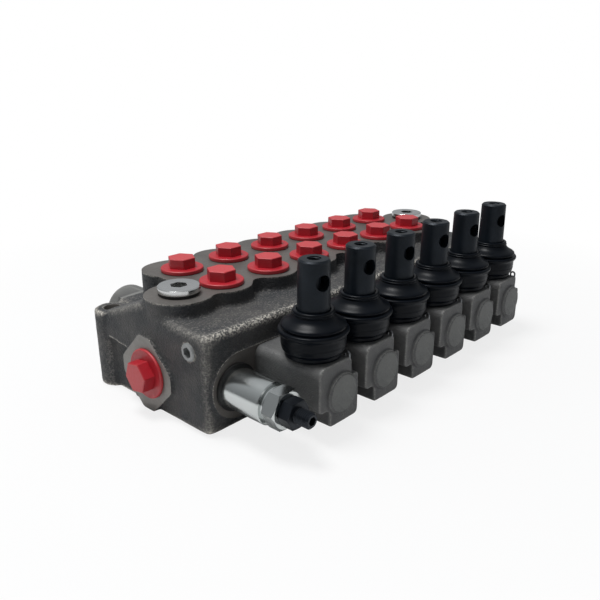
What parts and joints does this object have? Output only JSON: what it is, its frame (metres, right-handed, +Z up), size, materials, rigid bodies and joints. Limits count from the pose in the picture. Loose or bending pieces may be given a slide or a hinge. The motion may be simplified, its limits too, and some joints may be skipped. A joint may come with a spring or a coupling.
{
  "type": "spool directional control valve",
  "caption": "Manual monoblock hydraulic directional valve with levered spools in a row, red port plugs, rubber boots, a relief valve cartridge and a mounting lug at each end.",
  "frame": {"origin": "centre of the row of sections on the mounting plane under the body", "axes": "+X along the row of spools, -Y towards the levers, +Z up"},
  "size_m": [0.282, 0.185, 0.0873],
  "materials": {
    "cast_iron": "sand cast, sealed, with machined faces",
    "box_alloy": "die cast, matt grey",
    "cap_alloy": "die cast, matt grey",
    "ground_steel": "hardened and ground",
    "zinc_steel": "zinc plated",
    "black_steel": "black oxide",
    "lever_steel": "black oxide, satin",
    "boot_rubber": "moulded nitrile rubber",
    "seal_rubber": "nitrile rubber",
    "spring_steel": "spring wire",
    "red_plastic": "injection moulded"
  },
  "bodies": {
    "housing": {"valve_body": "cast_iron", "lever_box_1": "box_alloy", "lever_box_2": "box_alloy", "lever_box_3": "box_alloy", "lever_box_4": "box_alloy", "lever_box_5": "box_alloy", "lever_box_6": "box_alloy", "boot_1": "boot_rubber", "boot_2": "boot_rubber", "boot_3": "boot_rubber", "boot_4": "boot_rubber", "boot_5": "boot_rubber", "boot_6": "boot_rubber", "pivot_pins": "ground_steel", "wire_clips": "zinc_steel", "box_screws": "black_steel", "cap_screws": "black_steel", "rear_cap_1": "cap_alloy", "rear_cap_2": "cap_alloy", "rear_cap_3": "cap_alloy", "rear_cap_4": "cap_alloy", "rear_cap_5": "cap_alloy", "rear_cap_6": "cap_alloy", "centring_springs_1": "spring_steel", "centring_springs_2": "spring_steel", "centring_springs_3": "spring_steel", "centring_springs_4": "spring_steel", "centring_springs_5": "spring_steel", "centring_springs_6": "spring_steel", "front_spool_seals": "seal_rubber", "rear_spool_seals": "seal_rubber", "relief_sleeve": "zinc_steel", "relief_adjuster": "black_steel", "relief_locknut": "black_steel", "relief_seal_ring": "seal_rubber", "relief_spring": "spring_steel", "port_plugs": "red_plastic", "end_port_plugs": "red_plastic", "top_port_plugs": "zinc_steel", "seal_washers": "seal_rubber", "bleed_plug": "zinc_steel"},
    "spool_1": {"spool_1": "ground_steel"},
    "spool_2": {"spool_2": "ground_steel"},
    "spool_3": {"spool_3": "ground_steel"},
    "spool_4": {"spool_4": "ground_steel"},
    "spool_5": {"spool_5": "ground_steel"},
    "spool_6": {"spool_6": "ground_steel"},
    "lever_1": {"lever_1": "lever_steel"},
    "lever_2": {"lever_2": "lever_steel"},
    "lever_3": {"lever_3": "lever_steel"},
    "lever_4": {"lever_4": "lever_steel"},
    "lever_5": {"lever_5": "lever_steel"},
    "lever_6": {"lever_6": "lever_steel"},
    "relief_poppet": {"relief_poppet": "ground_steel"}
  },
  "joints": [
    {"name": "lever_1_swing", "type": "hinge", "parent": "housing", "child": "lever_1", "pos_m": [-0.0875, -0.0825, 0.043], "axis": [1, 0, 0], "range_deg": [-19.6, 19.6], "stiffness_Nm_per_rad": 1.2, "deforming": ["boot_1"]},
    {"name": "lever_2_swing", "type": "hinge", "parent": "housing", "child": "lever_2", "pos_m": [-0.0525, -0.0825, 0.043], "axis": [1, 0, 0], "range_deg": [-19.6, 19.6], "stiffness_Nm_per_rad": 1.2, "deforming": ["boot_2"]},
    {"name": "lever_3_swing", "type": "hinge", "parent": "housing", "child": "lever_3", "pos_m": [-0.0175, -0.0825, 0.043], "axis": [1, 0, 0], "range_deg": [-19.6, 19.6], "stiffness_Nm_per_rad": 1.2, "deforming": ["boot_3"]},
    {"name": "lever_4_swing", "type": "hinge", "parent": "housing", "child": "lever_4", "pos_m": [0.0175, -0.0825, 0.043], "axis": [1, 0, 0], "range_deg": [-19.6, 19.6], "stiffness_Nm_per_rad": 1.2, "deforming": ["boot_4"]},
    {"name": "lever_5_swing", "type": "hinge", "parent": "housing", "child": "lever_5", "pos_m": [0.0525, -0.0825, 0.043], "axis": [1, 0, 0], "range_deg": [-19.6, 19.6], "stiffness_Nm_per_rad": 1.2, "deforming": ["boot_5"]},
    {"name": "lever_6_swing", "type": "hinge", "parent": "housing", "child": "lever_6", "pos_m": [0.0875, -0.0825, 0.043], "axis": [1, 0, 0], "range_deg": [-19.6, 19.6], "stiffness_Nm_per_rad": 1.2, "deforming": ["boot_6"]},
    {"name": "spool_1_slide", "type": "slide", "parent": "housing", "child": "spool_1", "axis": [0, 1, 0], "range_m": [-0.0065, 0.0065], "deforming": ["centring_springs_1"]},
    {"name": "spool_2_slide", "type": "slide", "parent": "housing", "child": "spool_2", "axis": [0, 1, 0], "range_m": [-0.0065, 0.0065], "deforming": ["centring_springs_2"]},
    {"name": "spool_3_slide", "type": "slide", "parent": "housing", "child": "spool_3", "axis": [0, 1, 0], "range_m": [-0.0065, 0.0065], "deforming": ["centring_springs_3"]},
    {"name": "spool_4_slide", "type": "slide", "parent": "housing", "child": "spool_4", "axis": [0, 1, 0], "range_m": [-0.0065, 0.0065], "deforming": ["centring_springs_4"]},
    {"name": "spool_5_slide", "type": "slide", "parent": "housing", "child": "spool_5", "axis": [0, 1, 0], "range_m": [-0.0065, 0.0065], "deforming": ["centring_springs_5"]},
    {"name": "spool_6_slide", "type": "slide", "parent": "housing", "child": "spool_6", "axis": [0, 1, 0], "range_m": [-0.0065, 0.0065], "deforming": ["centring_springs_6"]},
    {"name": "relief_poppet_lift", "type": "slide", "parent": "housing", "child": "relief_poppet", "axis": [0, -1, 0], "range_m": [0, 0.0015], "stiffness_N_per_m": 20000, "springref_m": -0.001, "deforming": ["relief_spring"]}
  ],
  "couplings": [
    {"joint": "spool_1_slide", "follows": "lever_1_swing", "m_per_rad": 0.019},
    {"joint": "spool_2_slide", "follows": "lever_2_swing", "m_per_rad": 0.019},
    {"joint": "spool_3_slide", "follows": "lever_3_swing", "m_per_rad": 0.019},
    {"joint": "spool_4_slide", "follows": "lever_4_swing", "m_per_rad": 0.019},
    {"joint": "spool_5_slide", "follows": "lever_5_swing", "m_per_rad": 0.019},
    {"joint": "spool_6_slide", "follows": "lever_6_swing", "m_per_rad": 0.019}
  ]
}
